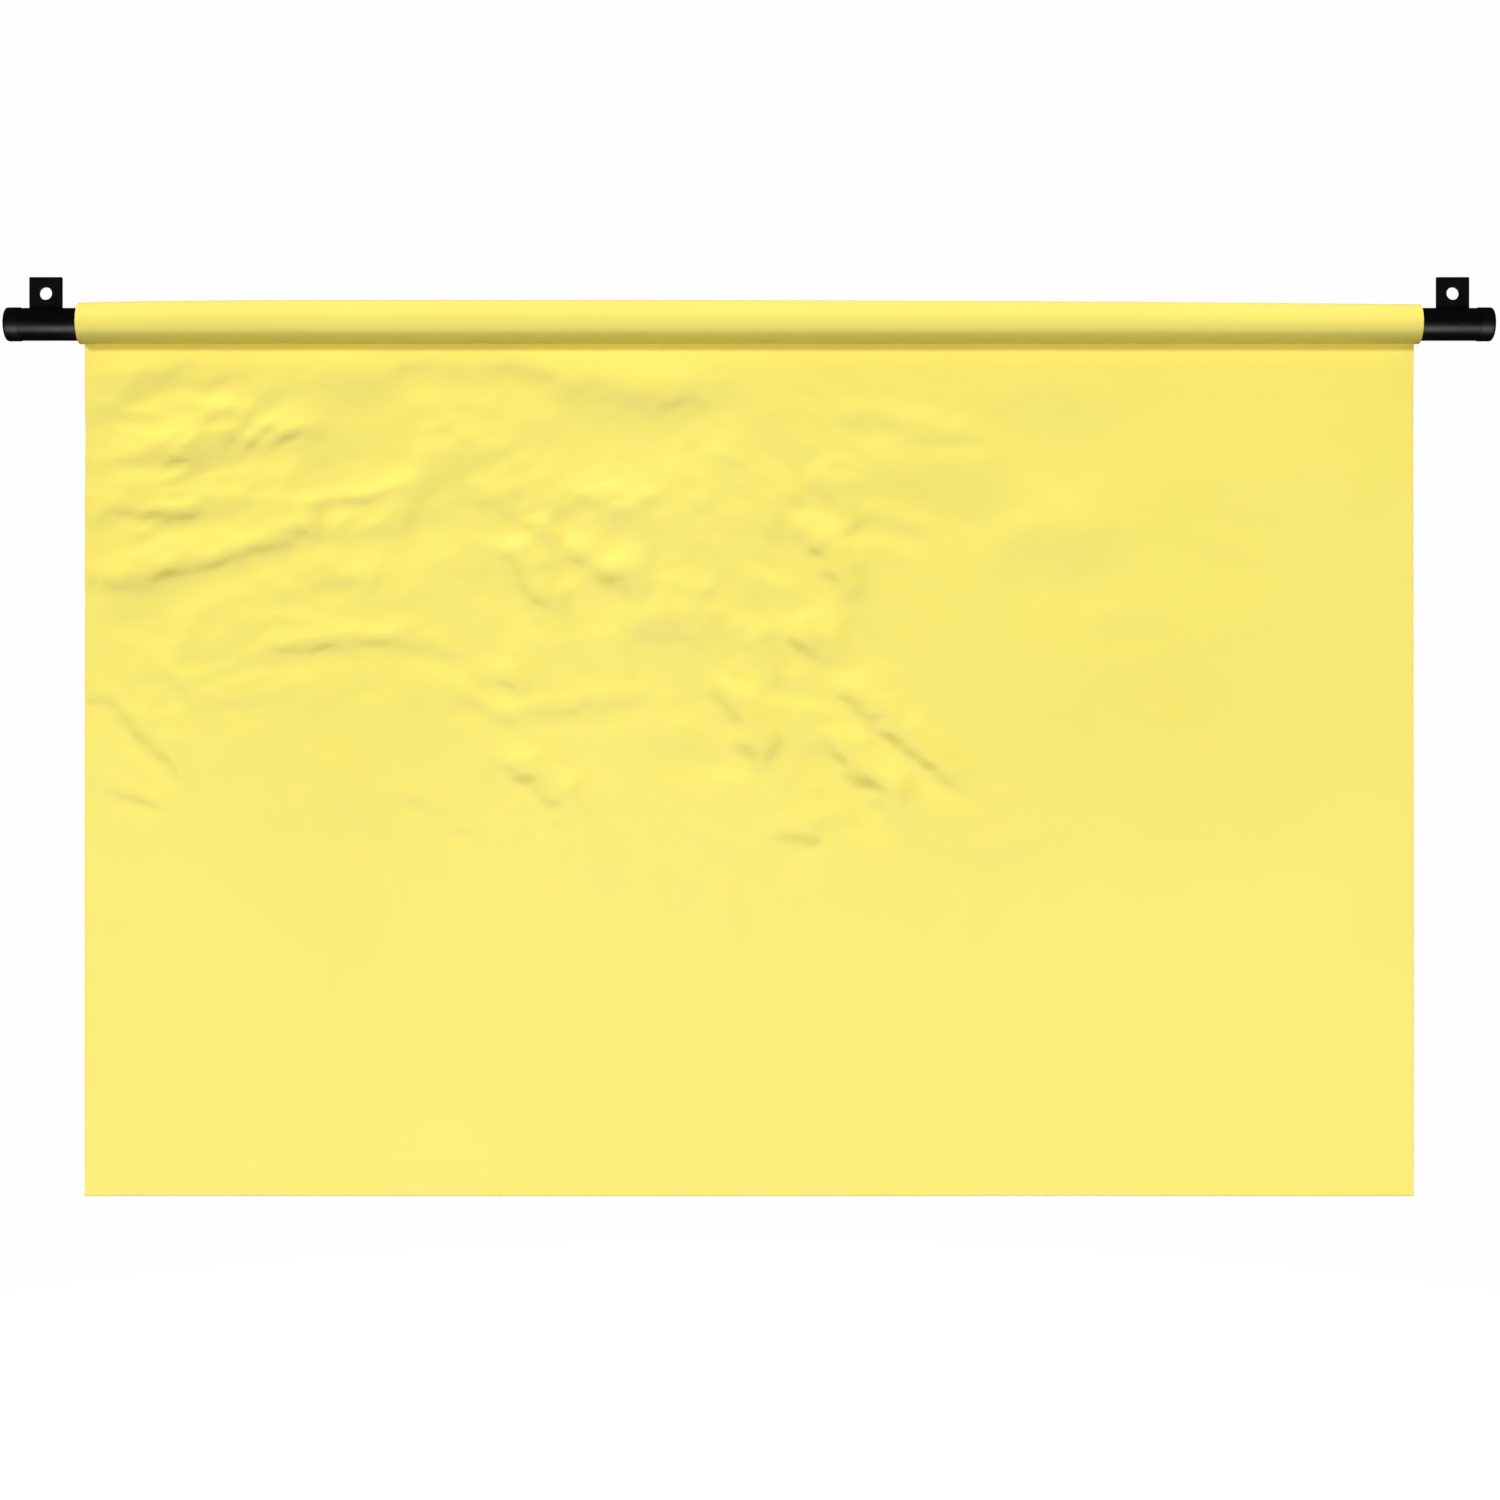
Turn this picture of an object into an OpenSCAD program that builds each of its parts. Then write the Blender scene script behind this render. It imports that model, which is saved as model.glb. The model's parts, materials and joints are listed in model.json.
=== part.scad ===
// Hanging welding curtain screen: a vinyl sheet on a telescoping steel pole.
// Millimetres. X runs along the pole, +Y is the back, +Z is up.
// The origin is midway between the two hanging holes.

/* [Pole] */
// Distance between the two hanging holes, pole fully closed
hole_spacing = 1921; // [1900:1:2100]
// Distance from a hanging hole to the very end of the pole
hole_to_end = 54; // [50:0.5:80]
// Outside diameter of the centre tube, hidden in the pocket
centre_d = 50.8; // [50.8:0.1:51.8]
// Wall of the centre tube
centre_wall = 1.65; // [1.5:0.05:1.7]
// Length of the centre tube without its bushes
centre_len = 1800; // [1500:10:1800]
// Outside diameter of the sliding end tubes
end_d = 44.45; // [42:0.05:44.45]
// Wall of the sliding end tubes
end_wall = 1.65; // [1.2:0.05:3]
// Length of each sliding end tube
end_len = 420; // [400:5:600]

/* [Bushes and plugs] */
// Running clearance on the radius of the sliding fits
running_gap = 0.08; // [0.02:0.01:0.1]
// Length of the bush inside the mouth of the centre tube
bush_len = 30; // [20:1:45]
// Thickness of the bush flange
flange_t = 3; // [2:0.5:5]
// Diameter of the rivets that hold the bush
rivet_d = 4; // [3:0.5:5]
// Length of the glide collar on the inner end of an end tube
glide_len = 22; // [15:1:30]
// Length of the glide plug's spigot inside the end tube
spigot_len = 25; // [15:1:40]
// Wall of the spigot
spigot_wall = 4; // [2:0.5:8]

/* [End caps] */
// Length of the skirt of the cap over the tube
cap_len = 20; // [12:1:30]
// Wall of the cap
cap_wall = 0.8; // [0.7:0.1:2]
// Thickness of the cap's end
cap_end_t = 6; // [6:0.5:10]
// Corner radius of the cap
cap_corner_r = 4; // [2:0.5:6]

/* [Hanging lugs] */
// Width and height of the square lug plate above the tube
lug_w = 44.45; // [35:0.05:60]
// Thickness of the lug plate
lug_t = 6; // [4:0.5:8]
// Diameter of the hanging hole
hole_d = 17.5; // [10:0.5:22]
// Height of the hole above the pole axis
hole_h = 42; // [38:0.5:48]
// Radius of the weld bead
bead_r = 3.5; // [2:0.5:5]

/* [Curtain] */
// Width of the sheet and of its pocket
sheet_w = 1829; // [1815:1:1835]
// Bottom edge of the sheet below the pole axis
sheet_drop = 1195; // [600:5:2400]
// Thickness of the modelled sheet
sheet_t = 1; // [0.8:0.1:2]
// Gap between the centre tube and the pocket
pocket_gap = 0.5; // [0.4:0.1:2]
// Height of the bend line below the pole axis
bend_drop = 30; // [28.5:0.5:40]
// Gap between the solids of pocket and panel at the bend line
bend_gap = 3; // [3:0.5:6]
// Height of the welded flap behind the sheet
flap_h = 38; // [20:1:60]
// Width of the side hems
side_hem_w = 25; // [15:1:50]
// Height of the bottom hem
bottom_hem_h = 38; // [20:1:60]
// Thickness of the hems and the flap
hem_t = 0.8; // [0.5:0.1:1]

/* [Hidden] */
$fn = 96;
LEFT = -1;
RIGHT = 1;

pole_z = -hole_h;
centre_r = centre_d / 2;
centre_bore_r = centre_r - centre_wall;
end_r = end_d / 2;
end_bore_r = end_r - end_wall;

hole_x = hole_spacing / 2;
pole_end_x = hole_x + hole_to_end;
tube_end_x = pole_end_x - cap_end_t;
tube_inner_x = tube_end_x - end_len;
cap_inner_x = pole_end_x - cap_len;
centre_end_x = centre_len / 2;
bush_bore_r = end_r + running_gap;
bush_inner_x = centre_end_x - bush_len;
glide_r = centre_bore_r - running_gap;
glide_bore_r = end_bore_r - spigot_wall;
lug_top_z = hole_h + lug_w / 2;
rivet_x = centre_end_x - bush_len / 2;
rivet_margin = 0.2;
// How far a cutting shape runs past the face that it cuts
over = 1;

pocket_bore_r = centre_r + pocket_gap;
pocket_r = pocket_bore_r + sheet_t;
sheet_front_y = pocket_bore_r;
sheet_back_y = pocket_r;
panel_top_z = -bend_drop - bend_gap;
flap_bottom_z = panel_top_z - flap_h;
hem_top_z = -sheet_drop + bottom_hem_h;

black_steel = [0.03, 0.03, 0.035];
zinc = [0.62, 0.63, 0.64];
nylon = [0.88, 0.87, 0.83];
cap_black = [0.05, 0.05, 0.055];
curtain_yellow = [0.97, 0.91, 0.43];

// Everything on the pole is drawn about the pole axis, then lowered to it.
module on_pole() translate([0, 0, pole_z]) children();

// A round bar along X between two stations.
module bar(x0, x1, r) translate([x0, 0, 0]) rotate([0, 90, 0]) cylinder(h = x1 - x0, r = r);

// A round tube along X between two stations.
module pipe(x0, x1, r_out, r_in) difference() {
    bar(x0, x1, r_out);
    bar(x0 - over, x1 + over, r_in);
}

// A part drawn on the right side, mirrored for the left.
module on_side(side) mirror([side == LEFT ? 1 : 0, 0, 0]) children();

module centre_tube() color(zinc) on_pole() difference() {
    pipe(-centre_end_x, centre_end_x, centre_r, centre_bore_r);
    for (x = [-rivet_x, rivet_x]) rivet_bar(x);
}

// The drilling through the tube and the bush, from top to bottom.
module rivet_bar(x) translate([x, 0, -centre_r - over]) cylinder(h = centre_d + 2 * over, d = rivet_d);

// Nylon bush pressed into the mouth of the centre tube; its flange covers the tube's end.
module mouth_bush(side) color(nylon) on_pole() on_side(side) difference() {
    union() {
        bar(bush_inner_x, centre_end_x, centre_bore_r);
        bar(centre_end_x, centre_end_x + flange_t, centre_r);
    }
    bar(bush_inner_x - over, centre_end_x + flange_t + over, bush_bore_r);
    rivet_bar(rivet_x);
}

// Two flush rivets, above and below, that take the pull of the glide plug against the bush.
module bush_rivets(side) color(zinc) on_pole() on_side(side) intersection() {
    rivet_bar(rivet_x);
    pipe(rivet_x - rivet_d, rivet_x + rivet_d, centre_r, bush_bore_r + rivet_margin);
}

module end_tube(side) color(black_steel) on_pole() on_side(side)
    pipe(tube_inner_x, tube_end_x, end_r, end_bore_r);

// Nylon plug in the inner end of an end tube: the collar slides in the centre tube and is the stop.
module glide_plug(side) color(nylon) on_pole() on_side(side) difference() {
    union() {
        bar(tube_inner_x - glide_len, tube_inner_x, glide_r);
        bar(tube_inner_x, tube_inner_x + spigot_len, end_bore_r);
    }
    bar(tube_inner_x - glide_len - over, tube_inner_x + spigot_len + over, glide_bore_r);
}

// Push-on cap with a rounded outer corner, turned about the pole axis.
module end_cap(side) color(cap_black) on_pole() on_side(side)
    translate([cap_inner_x, 0, 0]) rotate([0, 90, 0]) rotate_extrude() difference() {
        union() {
            square([end_r + cap_wall, cap_len - cap_corner_r]);
            square([end_r + cap_wall - cap_corner_r, cap_len]);
            translate([end_r + cap_wall - cap_corner_r, cap_len - cap_corner_r])
                intersection() {
                    circle(r = cap_corner_r);
                    square(cap_corner_r);
                }
        }
        translate([0, -over]) square([end_r, cap_len - cap_end_t + over]);
    }

// Square plate coped to the top of the tube, with the hanging hole through it.
module lug(side) color(black_steel) on_pole() on_side(side) difference() {
    translate([hole_x - lug_w / 2, -lug_t / 2, 0]) cube([lug_w, lug_t, lug_top_z]);
    bar(hole_x - lug_w, hole_x + lug_w, end_r);
    translate([hole_x, 0, hole_h]) rotate([90, 0, 0])
        cylinder(h = lug_t + 2 * over, d = hole_d, center = true);
}

// One fillet bead on each face of the plate, in the corner between plate and tube.
module lug_weld(side) color(black_steel) on_pole() on_side(side) difference() {
    for (y = [-lug_t / 2, lug_t / 2]) translate([0, y, sqrt(end_r * end_r - lug_t * lug_t / 4)])
        bar(hole_x - lug_w / 2, hole_x + lug_w / 2, bead_r);
    bar(hole_x - lug_w, hole_x + lug_w, end_r);
    translate([hole_x - lug_w, -lug_t / 2, 0]) cube([2 * lug_w, lug_t, lug_top_z]);
}

// The sheet turned over the pole, down to the line where it bends when the curtain swings.
module pole_pocket() color(curtain_yellow) on_pole() difference() {
    union() {
        bar(-sheet_w / 2, sheet_w / 2, pocket_r);
        translate([-sheet_w / 2, sheet_front_y, -bend_drop]) cube([sheet_w, sheet_t, bend_drop]);
    }
    bar(-sheet_w, sheet_w, pocket_bore_r);
}

module curtain_panel() color(curtain_yellow) on_pole()
    translate([-sheet_w / 2, sheet_front_y, -sheet_drop]) cube([sheet_w, sheet_t, sheet_drop + panel_top_z]);

// A strip welded flat on the back of the sheet.
module back_strip(x, z, w, h) color(curtain_yellow) on_pole()
    translate([x, sheet_back_y, z]) cube([w, hem_t, h]);

module side_hem(side) back_strip(side == LEFT ? -sheet_w / 2 : sheet_w / 2 - side_hem_w, hem_top_z,
    side_hem_w, flap_bottom_z - hem_top_z);

module pocket_flap() back_strip(-sheet_w / 2, flap_bottom_z, sheet_w, flap_h);
module bottom_hem() back_strip(-sheet_w / 2, -sheet_drop, sheet_w, bottom_hem_h);
module left_mouth_bush() mouth_bush(LEFT);
module right_mouth_bush() mouth_bush(RIGHT);
module left_bush_rivets() bush_rivets(LEFT);
module right_bush_rivets() bush_rivets(RIGHT);
module left_end_tube() end_tube(LEFT);
module right_end_tube() end_tube(RIGHT);
module left_glide_plug() glide_plug(LEFT);
module right_glide_plug() glide_plug(RIGHT);
module left_end_cap() end_cap(LEFT);
module right_end_cap() end_cap(RIGHT);
module left_lug() lug(LEFT);
module right_lug() lug(RIGHT);
module left_lug_weld() lug_weld(LEFT);
module right_lug_weld() lug_weld(RIGHT);
module left_side_hem() side_hem(LEFT);
module right_side_hem() side_hem(RIGHT);

centre_tube();
left_mouth_bush();
right_mouth_bush();
left_bush_rivets();
right_bush_rivets();
left_end_tube();
right_end_tube();
left_glide_plug();
right_glide_plug();
left_end_cap();
right_end_cap();
left_lug();
right_lug();
left_lug_weld();
right_lug_weld();
pole_pocket();
curtain_panel();
pocket_flap();
left_side_hem();
right_side_hem();
bottom_hem();
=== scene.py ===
# %% [markdown]
# # A welding curtain on a telescoping pole
# A yellow vinyl sheet is turned over a steel pole and welded to itself. A black end tube slides out of
# each end of the pole and carries a square lug with a hanging hole. This lesson starts from the engineering
# model, which already holds every size and every moving body, and gives each piece its shape and finish.

# %% Load the frame
import json
import math

import bmesh
import bpy
import numpy as np
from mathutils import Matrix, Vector, noise


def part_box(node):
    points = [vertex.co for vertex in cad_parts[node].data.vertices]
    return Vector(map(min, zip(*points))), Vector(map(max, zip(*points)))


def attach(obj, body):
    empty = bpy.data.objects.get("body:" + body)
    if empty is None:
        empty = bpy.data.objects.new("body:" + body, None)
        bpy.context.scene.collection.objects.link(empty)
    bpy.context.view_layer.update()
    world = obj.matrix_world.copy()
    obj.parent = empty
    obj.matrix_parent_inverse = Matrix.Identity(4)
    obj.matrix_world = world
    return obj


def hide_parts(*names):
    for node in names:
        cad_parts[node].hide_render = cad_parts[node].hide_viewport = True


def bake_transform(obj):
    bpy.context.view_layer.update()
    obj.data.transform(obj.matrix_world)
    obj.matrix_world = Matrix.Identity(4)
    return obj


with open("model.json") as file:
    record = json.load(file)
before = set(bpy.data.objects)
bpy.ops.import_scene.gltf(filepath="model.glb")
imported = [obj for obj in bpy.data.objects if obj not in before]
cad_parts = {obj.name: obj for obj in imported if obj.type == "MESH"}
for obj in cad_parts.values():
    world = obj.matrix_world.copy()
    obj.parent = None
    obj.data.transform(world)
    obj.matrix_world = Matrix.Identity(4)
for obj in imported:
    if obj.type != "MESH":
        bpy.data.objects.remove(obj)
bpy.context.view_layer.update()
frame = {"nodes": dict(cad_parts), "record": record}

# %% [markdown]
# ## Sizes
# Every place comes from the frame: the pole axis from the centre tube's box, the lugs from the hanging
# holes, and the sheet from its own box. Only what a box can't tell, such as a wall thickness, is a value of
# its own. Tubes and lugs are in metres like the frame; the cloth is laid out in millimetres.

# %% Read the sizes off the frame
MM = 0.001
tube_low, tube_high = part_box("centre_tube")
pole_z = (tube_low[2] + tube_high[2]) / 2
centre_r = (tube_high[2] - tube_low[2]) / 2
centre_end = tube_high[0]
bush_low, bush_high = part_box("right_mouth_bush")
end_low, end_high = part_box("right_end_tube")
end_r = (end_high[1] - end_low[1]) / 2
plug_low, plug_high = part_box("right_glide_plug")
plug_r = (plug_high[2] - plug_low[2]) / 2
cap_low, cap_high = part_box("right_end_cap")
cap_r = (cap_high[2] - cap_low[2]) / 2
lug_low, lug_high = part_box("right_lug")
panel_low, panel_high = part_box("curtain_panel")
half_width = panel_high[0]
sheet_y = (panel_low[1] + panel_high[1]) / 2
sheet_drop = pole_z - panel_low[2]
width_mm, drop_mm = 2 * half_width / MM, sheet_drop / MM
holes = {m["name"]: m for m in frame["record"]["mounts"]}
hole_x, hole_z = (holes["right_hanging_hole"]["pos_m"][axis] for axis in (0, 2))
hole_r = holes["right_hanging_hole"]["dims"]["r_mm"] * MM
print(f"pole axis z {pole_z:.4f}, sheet {2 * half_width:.3f} m wide, {sheet_drop:.3f} m below the axis")

# %% [markdown]
# ## Camera
# The curtain is seen square on from 3.5 m with a short telephoto lens, from a point level with the middle
# of the sheet, so that the pole shows its underside a little.

# %% Place the camera
CAMERA_RIGHT, CAMERA_BACK, CAMERA_BELOW_POLE = 0.001, 3.5, 0.5813
LENS_MM, SENSOR_MM = 61.5, 36
camera_data = bpy.data.cameras.new("camera")
camera_data.lens = LENS_MM
camera_data.sensor_width = SENSOR_MM
camera = bpy.data.objects.new("camera", camera_data)
camera.location = (CAMERA_RIGHT, -CAMERA_BACK, pole_z - CAMERA_BELOW_POLE)
camera.rotation_euler = (math.radians(90), 0, 0)
bpy.context.collection.objects.link(camera)
bpy.context.scene.camera = camera
bpy.context.scene.view_settings.view_transform = "Standard"
print("camera", [round(v, 3) for v in camera.location])

# %% [markdown]
# ## Light and floor
# Creases show only where light rakes over them, so one wide soft light comes from high up, a little to the
# left. It throws no shadow, because the pocket would shade the whole top of the sheet and hide the creases
# there. A second, narrower light from the front does throw one: the thin dark line under the pocket. A low
# lamp lifts the bottom edge. The black tube shows only what it mirrors, so it gets a strip of its own, and
# two lamps behind light the floor and the back of the sheet. The camera sees plain white past the curtain.
# The floor glows, so that it looks even from every side, and it is hidden from bounced and mirrored rays,
# so that it neither lights the pocket from below nor shows in the tube.

# %% Hang the lamps
FLOOR_Z = -1.75
# Each sun: name, place it shines from, strength, width in degrees, and whether it throws a shadow.
SUNS = (
    ("raking_light", (-0.08, -0.62, 0.78), 1.85, 22, False),
    ("front_light", (-0.22, -0.96, 0.16), 1.68, 12, True),
)
# Each softbox: name, place, target, size in metres, and watts.
SOFTBOXES = (
    ("low_lamp", (-0.3, -2.8, -1.9), (0, 0, -1.2), (2.6, 0.8), 3),
    ("floor_lamp", (0, 2.0, 1.9), (0, 1.6, FLOOR_Z), (3.0, 2.0), 60),
    ("back_lamp", (0.8, 3.0, -0.2), (0, 0, -0.7), (2.0, 2.0), 45),
    ("tube_strip", (0, -1.85, -1.6), (0, 0, pole_z), (4.4, 1.5), 46),
)


def hung(name, kind, place, target, watts):
    """A light of some kind, hung at a place and turned to a target."""
    data = bpy.data.lights.new(name, kind)
    data.energy = watts
    one = bpy.data.objects.new(name, data)
    one.location = place
    one.rotation_euler = (Vector(target) - Vector(place)).to_track_quat("-Z", "Y").to_euler()
    one.visible_camera = False
    bpy.context.collection.objects.link(one)
    return one


for name, place, strength, angle, shadow in SUNS:
    sun = hung(name, "SUN", place, (0, 0, 0), strength)
    sun.data.angle = math.radians(angle)
    sun.data.use_shadow = shadow
    sun.visible_glossy = False
# The strip shows only in reflections, and the other lamps only in what they light.
for name, place, target, size, watts in SOFTBOXES:
    lamp = hung(name, "AREA", place, target, watts)
    lamp.data.shape = "RECTANGLE"
    lamp.data.size, lamp.data.size_y = size
    lamp.visible_glossy = name == "tube_strip"
    lamp.visible_diffuse = name != "tube_strip"

# %% Paint the room and lay the floor
ROOM_LIGHT, ROOM_GLOSS = 0.18, 0.02
BACKDROP = (1.0, 0.985, 1.0, 1)
FLOOR_RADIUS, FLOOR_SIDES = 2.4, 96


def room():
    """A world that is white to the camera, dim as a light and dimmer still in reflections."""
    world = bpy.data.worlds.new("studio room")
    bpy.context.scene.world = world
    world.use_nodes = True
    nodes, links = world.node_tree.nodes, world.node_tree.links
    nodes.clear()
    white, light, gloss = (nodes.new("ShaderNodeBackground") for _ in range(3))
    white.inputs["Color"].default_value = BACKDROP
    light.inputs["Strength"].default_value = ROOM_LIGHT
    gloss.inputs["Strength"].default_value = ROOM_GLOSS
    path = nodes.new("ShaderNodeLightPath")
    lit, shown = (nodes.new("ShaderNodeMixShader") for _ in range(2))
    out = nodes.new("ShaderNodeOutputWorld")
    links.new(path.outputs["Is Glossy Ray"], lit.inputs["Fac"])
    links.new(light.outputs[0], lit.inputs[1])
    links.new(gloss.outputs[0], lit.inputs[2])
    links.new(path.outputs["Is Camera Ray"], shown.inputs["Fac"])
    links.new(lit.outputs[0], shown.inputs[1])
    links.new(white.outputs[0], shown.inputs[2])
    links.new(shown.outputs[0], out.inputs["Surface"])


room()
floor_mesh = bpy.data.meshes.new("floor")
disc = bmesh.new()
bmesh.ops.create_circle(disc, cap_ends=True, segments=FLOOR_SIDES, radius=FLOOR_RADIUS)
bmesh.ops.translate(disc, verts=disc.verts, vec=(0, 0, FLOOR_Z))
disc.to_mesh(floor_mesh)
disc.free()
floor = bpy.data.objects.new("floor", floor_mesh)
bpy.context.collection.objects.link(floor)
floor.visible_glossy = False
floor.visible_diffuse = False
print("floor at", FLOOR_Z)

# %% [markdown]
# ## Finishes
# Each finish is one function that returns a node material. The patterns read Object coordinates, so they
# stay put on a piece when its body moves. Powder coat has a fine orange peel, zinc a drawn grain along the
# tube, dipped vinyl caps a dull pebble, nylon a waxy skin, and the curtain a calendered surface with faint
# colour drift.

# %% Helpers for node materials
DRIFT_SPAN = (0.3, 0.7)     # the part of a noise between its low and its high colour


def finish(name, colour, roughness, specular=0.5, metallic=0.0):
    """A new node material, with its node tree and its Principled shader."""
    material = bpy.data.materials.new(name)
    material.use_nodes = True
    tree = material.node_tree
    shader = tree.nodes["Principled BSDF"]
    shader.inputs["Base Color"].default_value = (*colour, 1)
    shader.inputs["Roughness"].default_value = roughness
    shader.inputs["Specular IOR Level"].default_value = specular
    shader.inputs["Metallic"].default_value = metallic
    return material, tree, shader


def pattern(tree, scale, detail=2.0, stretch=(1, 1, 1)):
    """Noise on Object coordinates; stretch below 1 draws it out along that axis."""
    place = tree.nodes.new("ShaderNodeTexCoord")
    mapping = tree.nodes.new("ShaderNodeMapping")
    mapping.inputs["Scale"].default_value = stretch
    grain = tree.nodes.new("ShaderNodeTexNoise")
    grain.inputs["Scale"].default_value = scale
    grain.inputs["Detail"].default_value = detail
    tree.links.new(place.outputs["Object"], mapping.inputs["Vector"])
    tree.links.new(mapping.outputs["Vector"], grain.inputs["Vector"])
    return grain.outputs["Fac"]


def bump(tree, shader, height, distance, strength=1.0, under=None):
    """Raises a pattern on the surface; under is a bump that it lies on."""
    node = tree.nodes.new("ShaderNodeBump")
    node.inputs["Distance"].default_value = distance
    node.inputs["Strength"].default_value = strength
    tree.links.new(height, node.inputs["Height"])
    if under is not None:
        tree.links.new(under, node.inputs["Normal"])
    tree.links.new(node.outputs["Normal"], shader.inputs["Normal"])
    return node.outputs["Normal"]


def drift(tree, fac, low, high, socket):
    """Lets a pattern move a value or a colour between low and high."""
    ramp = tree.nodes.new("ShaderNodeValToRGB")
    for element, position, value in zip(ramp.color_ramp.elements, DRIFT_SPAN, (low, high)):
        element.position = position
        element.color = (*value, 1)
    tree.links.new(fac, ramp.inputs["Fac"])
    tree.links.new(ramp.outputs["Color"], socket)


print("patterns drift over", DRIFT_SPAN)

# %% The finishes of this curtain
def powder_coat():
    """Black coat with a fine orange peel."""
    material, tree, shader = finish("black powder coat", (0.001, 0.001, 0.001), 0.36, 0.8)
    drift(tree, pattern(tree, 9, 3), (0.0008,) * 3, (0.0014,) * 3, shader.inputs["Base Color"])
    drift(tree, pattern(tree, 60, 3), (0.32,) * 3, (0.40,) * 3, shader.inputs["Roughness"])
    bump(tree, shader, pattern(tree, 700, 2), 0.00012, 0.5)
    return material


def zinc_plate():
    """Bright metal with a grain drawn along the tube."""
    material, tree, shader = finish("zinc plate", (0.60, 0.61, 0.62), 0.32, 0.5, 1.0)
    drift(tree, pattern(tree, 14, 4), (0.52, 0.53, 0.54), (0.66, 0.67, 0.68), shader.inputs["Base Color"])
    bump(tree, shader, pattern(tree, 900, 2, (0.03, 1, 1)), 0.00005, 0.5)
    return material


def cap_vinyl():
    """Black vinyl with a dull pebble."""
    material, tree, shader = finish("dipped vinyl", (0.0013, 0.0013, 0.0013), 0.4, 0.7)
    drift(tree, pattern(tree, 30, 3), (0.001,) * 3, (0.0017,) * 3, shader.inputs["Base Color"])
    bump(tree, shader, pattern(tree, 1500, 2), 0.00008, 0.6)
    return material


def nylon():
    """Off-white and a little waxy."""
    material, tree, shader = finish("natural nylon", (0.80, 0.78, 0.70), 0.42, 0.5)
    shader.inputs["Subsurface Weight"].default_value = 0.15
    shader.inputs["Subsurface Radius"].default_value = (0.002, 0.0018, 0.0014)
    drift(tree, pattern(tree, 40, 3), (0.76, 0.74, 0.66), (0.83, 0.81, 0.74), shader.inputs["Base Color"])
    bump(tree, shader, pattern(tree, 800, 2), 0.00005, 0.4)
    return material


def curtain_vinyl(name, low, high, roughness):
    """Yellow vinyl whose colour drifts between low and high."""
    material, tree, shader = finish(name, high, roughness, 0.4)
    drift(tree, pattern(tree, 2.2, 3), low, high, shader.inputs["Base Color"])
    broad = bump(tree, shader, pattern(tree, 26, 3, (0.6, 1, 1)), 0.0012, 0.25)
    bump(tree, shader, pattern(tree, 1300, 2), 0.00006, 0.35, broad)
    return material


def studio_floor():
    """Pale paint that glows a little."""
    material, tree, shader = finish("studio floor", (0.86, 0.86, 0.86), 0.8, 0.2)
    drift(tree, pattern(tree, 3, 2), (0.85, 0.85, 0.85), (0.87, 0.87, 0.87), shader.inputs["Base Color"])
    shader.inputs["Emission Color"].default_value = (1, 1, 1, 1)
    shader.inputs["Emission Strength"].default_value = 0.6
    return material


POWDER = powder_coat()
ZINC = zinc_plate()
CAP = cap_vinyl()
NYLON = nylon()
VINYL = curtain_vinyl("curtain vinyl", (0.905, 0.775, 0.150), (0.935, 0.805, 0.168), 0.42)
HEM_VINYL = curtain_vinyl("hem vinyl", (0.880, 0.745, 0.140), (0.915, 0.780, 0.155), 0.48)
floor_mesh.materials.append(studio_floor())
print("finishes:", [m.name for m in bpy.data.materials])

# %% [markdown]
# ## Turned pieces
# Tubes, bushes, plugs and caps are all round about the pole axis. On a lathe each would be one profile, so
# here each is one profile too: a closed outline of (x, radius) points with its corners eased, spun into
# rings. The engineering tube has coarse flats; this one has 96 sides and looks round up to its edges.

# %% Ease corners and spin profiles
SEGMENTS = 96
SAME_PLACE = 1e-7
SIDES = {"left": -1, "right": 1}


def eased(points, radius, steps=3):
    """A closed outline with each corner cut by a small arc of quadratic points."""
    result = []
    for i, here in enumerate(points):
        before, after = Vector(points[i - 1]), Vector(points[(i + 1) % len(points)])
        here = Vector(here)
        back, forth = before - here, after - here
        reach = min(radius, 0.4 * back.length, 0.4 * forth.length)
        start, end = here + back.normalized() * reach, here + forth.normalized() * reach
        for k in range(steps + 1):
            t = k / steps
            result.append(start * (1 - t) ** 2 + here * 2 * t * (1 - t) + end * t * t)
    return result


def new_piece(name, mesh, material, sharp=35):
    """An object at the origin with smooth shading, sharp only where faces meet at a real corner."""
    mesh.materials.append(material)
    mesh.shade_smooth()
    mesh.set_sharp_from_angle(angle=math.radians(sharp))
    piece = bpy.data.objects.new(name, mesh)
    bpy.context.collection.objects.link(piece)
    return piece


def turned(name, profile, side, material, ease=0.3 * MM):
    """Spins a closed (x, radius) outline about the pole axis. A radius of 0 closes on the axis."""
    shape = bmesh.new()
    turns = [2 * math.pi * k / SEGMENTS for k in range(SEGMENTS)]
    rings = [[shape.verts.new((side * x, r * math.cos(a), pole_z + r * math.sin(a))) for a in turns]
             for x, r in eased(profile, ease)]
    for i, ring in enumerate(rings):
        following = rings[(i + 1) % len(rings)]
        for k in range(SEGMENTS):
            n = (k + 1) % SEGMENTS
            shape.faces.new((ring[k], ring[n], following[n], following[k]))
    bmesh.ops.remove_doubles(shape, verts=shape.verts, dist=SAME_PLACE)
    bmesh.ops.recalc_face_normals(shape, faces=shape.faces)
    mesh = bpy.data.meshes.new(name)
    shape.to_mesh(mesh)
    shape.free()
    return new_piece(name, mesh, material)


print("a turned piece has", SEGMENTS, "sides")

# %% Turn the tubes, bushes, plugs and caps
TUBE_WALL = 1.65 * MM
RUNNING_GAP = 0.08 * MM
PLUG_BORE_STEP = 4 * MM
CAP_CORNER, CAP_EASE = 4 * MM, 0.2 * MM
bore_r = centre_r - TUBE_WALL
end_bore_r = end_r - TUBE_WALL


def sleeve(start, stop, outer, inner):
    """The profile of a plain tube."""
    return [(start, outer), (stop, outer), (stop, inner), (start, inner)]


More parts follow.
